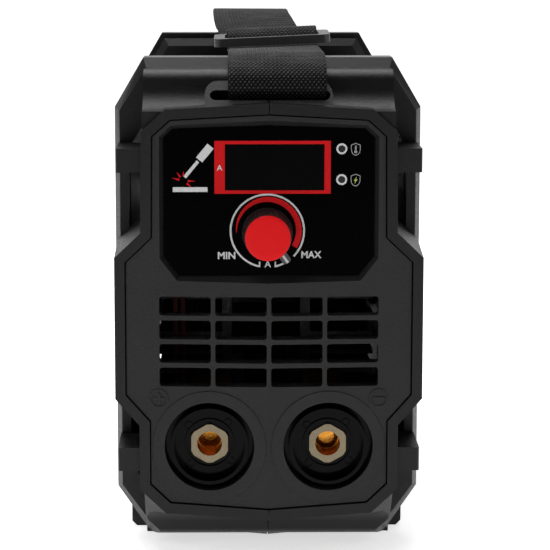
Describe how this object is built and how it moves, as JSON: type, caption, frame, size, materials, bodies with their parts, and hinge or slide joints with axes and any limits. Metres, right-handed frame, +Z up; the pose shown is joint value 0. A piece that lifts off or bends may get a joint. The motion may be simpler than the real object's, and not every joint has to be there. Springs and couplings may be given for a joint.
{
  "type": "stick welding inverter",
  "caption": "Compact black welding power source with bumper ridges, carry strap, small display, current dial, cooling slots and twist-lock output sockets.",
  "frame": {"origin": "centre of the bounding box in plan, on the surface the feet stand on", "axes": "+X to the right seen from the front panel, +Y from the front panel to the rear panel, +Z up"},
  "size_m": [0.118, 0.301, 0.2047],
  "materials": {
    "housing_plastic": "fine moulded grain",
    "panel_plastic": "fine moulded grain",
    "gloss_black": "polished",
    "smoked_window": "polished, smoked",
    "light_pipe": "polished, translucent",
    "knob_black": "fine knurl",
    "knob_red": "satin",
    "mark_white": "printed",
    "socket_plastic": "satin",
    "contact_brass": "bright turned",
    "copper_bar": "plain copper strip",
    "webbing": "woven",
    "buckle_plastic": "satin",
    "steel_bright": "zinc plated",
    "foot_rubber": "matt",
    "board_green": "lacquered laminate",
    "heatsink_alu": "extruded",
    "package_black": "moulded",
    "ferrite": "pressed",
    "winding": "taped",
    "can_blue": "sleeved",
    "relay_blue": "moulded",
    "lead_red": "insulated",
    "fan_plastic": "moulded",
    "switch_black": "moulded",
    "rocker_red": "moulded",
    "tin_brass": "tinned",
    "gland_plastic": "moulded",
    "seal_rubber": "matt"
  },
  "bodies": {
    "case": {"left_shell": "housing_plastic", "right_shell": "housing_plastic", "shell_screws": "steel_bright", "rubber_feet": "foot_rubber", "foot_screws": "steel_bright", "front_panel": "panel_plastic", "display_fascia": "gloss_black", "display_window": "smoked_window", "indicator_lights": "light_pipe", "display_module": "package_black", "control_board": "board_green", "control_board_screws": "steel_bright", "potentiometer": "package_black", "potentiometer_nut": "steel_bright", "positive_socket_body": "socket_plastic", "negative_socket_body": "socket_plastic", "positive_socket_contact": "contact_brass", "negative_socket_contact": "contact_brass", "socket_bolts": "contact_brass", "positive_busbar": "copper_bar", "negative_busbar": "copper_bar", "carry_strap": "webbing", "strap_slider": "buckle_plastic", "strap_bars": "steel_bright", "main_board": "board_green", "board_screws": "steel_bright", "left_heatsink": "heatsink_alu", "right_heatsink": "heatsink_alu", "power_transistors": "package_black", "output_diodes": "package_black", "transformer_core": "ferrite", "transformer_winding": "winding", "filter_capacitors": "can_blue", "bridge_rectifier": "package_black", "start_relay": "relay_blue", "relay_lead": "lead_red", "fan_frame": "fan_plastic", "fan_screws": "steel_bright", "rear_panel": "panel_plastic", "switch_housing": "switch_black", "switch_terminals": "tin_brass", "gland_body": "gland_plastic", "gland_cap": "gland_plastic", "gland_seal": "seal_rubber", "gland_locknut": "gland_plastic"},
    "dial": {"knob_shaft": "steel_bright", "current_knob": "knob_black", "knob_cap": "knob_red", "knob_pointer_mark": "mark_white"},
    "impeller": {"fan_rotor": "fan_plastic"},
    "rocker": {"switch_rocker": "rocker_red"}
  },
  "joints": [
    {"name": "dial_turn", "type": "hinge", "parent": "case", "child": "dial", "pos_m": [-0.0006, -0.13755, 0.1268], "axis": [0, -1, 0], "range_deg": [0, 290]},
    {"name": "fan_spin", "type": "hinge", "parent": "case", "child": "impeller", "pos_m": [0, 0.11245, 0.112], "axis": [0, 1, 0], "continuous": true},
    {"name": "rocker_switch", "type": "hinge", "parent": "case", "child": "rocker", "pos_m": [-0.028, 0.12745, 0.046], "axis": [1, 0, 0], "range_deg": [0, 20]}
  ]
}
